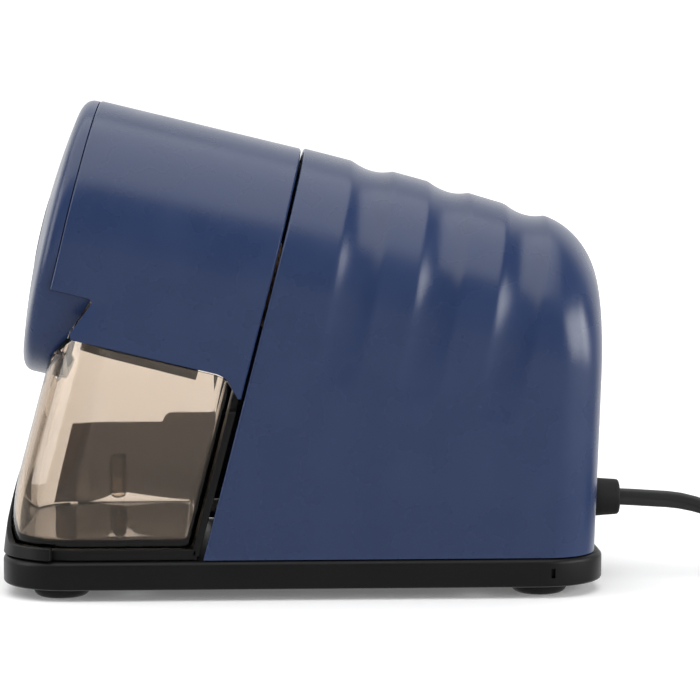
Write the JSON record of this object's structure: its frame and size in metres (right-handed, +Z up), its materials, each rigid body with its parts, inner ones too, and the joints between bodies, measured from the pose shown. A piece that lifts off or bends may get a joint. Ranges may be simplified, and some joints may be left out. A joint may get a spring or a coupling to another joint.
{
  "type": "electric pencil sharpener",
  "caption": "Electric pencil sharpener with a tilted navy barrel, a see-through shavings drawer that pulls out at the front, and a mains lead",
  "frame": {"origin": "centre of the footprint, on the surface that the rubber feet stand on", "axes": "+Z up, +X from the pencil hole to the lead, +Y to the left of someone who faces the pencil hole"},
  "size_m": [0.3269, 0.1004, 0.1453],
  "materials": {
    "navy_moulding": "fine spark texture, satin sheen",
    "black_moulding": "satin",
    "smoke_moulding": "clear smoke, polished",
    "black_rubber": "matte",
    "black_vinyl": "soft satin",
    "bright_steel": "bright zinc plate",
    "tool_steel": "ground",
    "cast_zinc": "as cast",
    "nylon": "natural, slightly waxy",
    "lamination_steel": "stacked sheet edges",
    "copper_winding": "enamelled wire under tape",
    "bronze_bush": "sintered, oily",
    "brass": "bright"
  },
  "bodies": {
    "frame": {"front_housing": "navy_moulding", "front_cap": "navy_moulding", "rear_housing": "navy_moulding", "base_plate": "black_moulding", "bay_frame": "black_moulding", "pencil_guide": "black_moulding", "start_switch": "black_moulding", "interlock_switch": "black_moulding", "cord_tie": "black_moulding", "foot_1": "black_rubber", "foot_2": "black_rubber", "foot_3": "black_rubber", "foot_4": "black_rubber", "strain_relief": "black_rubber", "cord_run": "black_vinyl", "cord_coil": "black_vinyl", "plug_body": "black_vinyl", "base_screw_1": "bright_steel", "base_screw_2": "bright_steel", "base_screw_3": "bright_steel", "base_screw_4": "bright_steel", "idler_pin": "bright_steel", "gear_plate": "bright_steel", "motor_screw_1": "bright_steel", "motor_screw_2": "bright_steel", "ring_gear": "cast_zinc", "motor_front_bracket": "cast_zinc", "motor_rear_bracket": "cast_zinc", "stator_laminations": "lamination_steel", "motor_coil": "copper_winding", "carrier_rear_bearing": "bronze_bush", "plug_blade_1": "brass", "plug_blade_2": "brass"},
    "receptacle_body": {"receptacle": "smoke_moulding", "receptacle_pull": "black_moulding"},
    "rotor": {"rotor_shaft": "bright_steel", "rotor_core": "lamination_steel", "motor_pinion": "brass", "cooling_fan": "black_moulding"},
    "idler": {"compound_gear": "nylon"},
    "carrier": {"cutter_carrier": "cast_zinc", "main_gear": "nylon", "cutter_axle": "bright_steel"},
    "cutter": {"helical_cutter": "tool_steel", "cutter_pinion": "tool_steel"},
    "plunger": {"interlock_plunger": "nylon"},
    "lever": {"start_lever": "nylon"}
  },
  "joints": [
    {"name": "motor_spin", "type": "hinge", "parent": "frame", "child": "rotor", "pos_m": [-0.00844, 0, 0.0543], "axis": [0.9724, 0, -0.2334], "continuous": true},
    {"name": "idler_spin", "type": "hinge", "parent": "frame", "child": "idler", "pos_m": [-0.01365, -0.01712, 0.06772], "axis": [0.9724, 0, -0.2334], "continuous": true},
    {"name": "carrier_spin", "type": "hinge", "parent": "frame", "child": "carrier", "pos_m": [-0.0744, 0, 0.1051], "axis": [0.9724, 0, -0.2334], "continuous": true},
    {"name": "cutter_spin", "type": "hinge", "parent": "carrier", "child": "cutter", "pos_m": [0.01029, 0, 0.08477], "axis": [0.9994, 0, -0.0349], "continuous": true},
    {"name": "receptacle_slide", "type": "slide", "parent": "frame", "child": "receptacle_body", "axis": [-1, 0, 0], "range_m": [0, 0.075]},
    {"name": "plunger_slide", "type": "slide", "parent": "frame", "child": "plunger", "axis": [1, 0, 0], "range_m": [0, 0.0012], "stiffness_N_per_m": 60, "springref_m": -0.001},
    {"name": "start_lever_tilt", "type": "hinge", "parent": "frame", "child": "lever", "pos_m": [-0.0632, 0, 0.11321], "axis": [0, 1, 0], "range_deg": [0, 14], "stiffness_Nm_per_rad": 0.002, "springref_deg": -5.73}
  ],
  "couplings": [
    {"joint": "idler_spin", "follows": "motor_spin", "ratio": -0.3},
    {"joint": "carrier_spin", "follows": "motor_spin", "ratio": 0.081818},
    {"joint": "cutter_spin", "follows": "motor_spin", "ratio": -0.29455}
  ]
}
